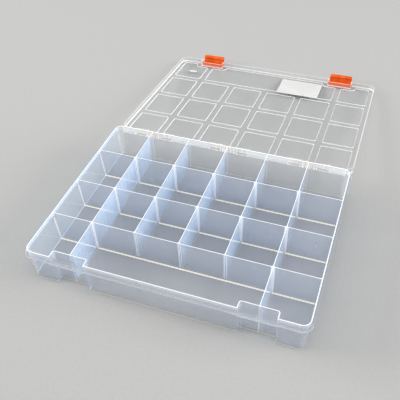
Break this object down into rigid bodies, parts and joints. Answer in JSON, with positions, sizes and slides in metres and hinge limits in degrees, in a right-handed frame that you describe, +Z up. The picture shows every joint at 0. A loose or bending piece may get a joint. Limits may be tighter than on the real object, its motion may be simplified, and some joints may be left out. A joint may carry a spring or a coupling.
{
  "type": "parts sorting tray",
  "caption": "Shallow clear sorting tray with fixed compartments, a clear lid hinged at the rear and opened flat behind it, and coloured snap latches on the lid's front edge.",
  "frame": {"origin": "centre of the plane the tray stands on, midway between the side walls and midway between the front and rear walls", "axes": "+X to the right, +Y from the front latches towards the rear hinges and the opened lid, +Z up out of the compartments"},
  "size_m": [0.3518, 0.5505, 0.0495],
  "materials": {
    "clear_tray": "clear polypropylene with a faint blue-grey haze, glossy",
    "clear_lid": "clear polypropylene, glossy",
    "orange_latch": "bright orange polypropylene, satin gloss",
    "label_paper": "plain off-white paper, matte",
    "sticker_paper": "plain white paper, matte"
  },
  "bodies": {
    "tray": {"base_tray": "clear_tray"},
    "lid_body": {"lid": "clear_lid", "paper_label": "label_paper", "oval_sticker": "sticker_paper"},
    "latch_left_body": {"latch_left": "orange_latch"},
    "latch_right_body": {"latch_right": "orange_latch"}
  },
  "joints": [
    {"name": "lid_hinge", "type": "hinge", "parent": "tray", "child": "lid_body", "pos_m": [0, 0.1384, 0.0405], "axis": [1, 0, 0], "range_deg": [0, 185.8]},
    {"name": "latch_left_pivot", "type": "hinge", "parent": "lid_body", "child": "latch_left_body", "pos_m": [-0.116, 0.40319, 0.00717], "axis": [-1, 0, 0], "range_deg": [-14, 81]},
    {"name": "latch_right_pivot", "type": "hinge", "parent": "lid_body", "child": "latch_right_body", "pos_m": [0.116, 0.40319, 0.00717], "axis": [-1, 0, 0], "range_deg": [-14, 81]}
  ]
}
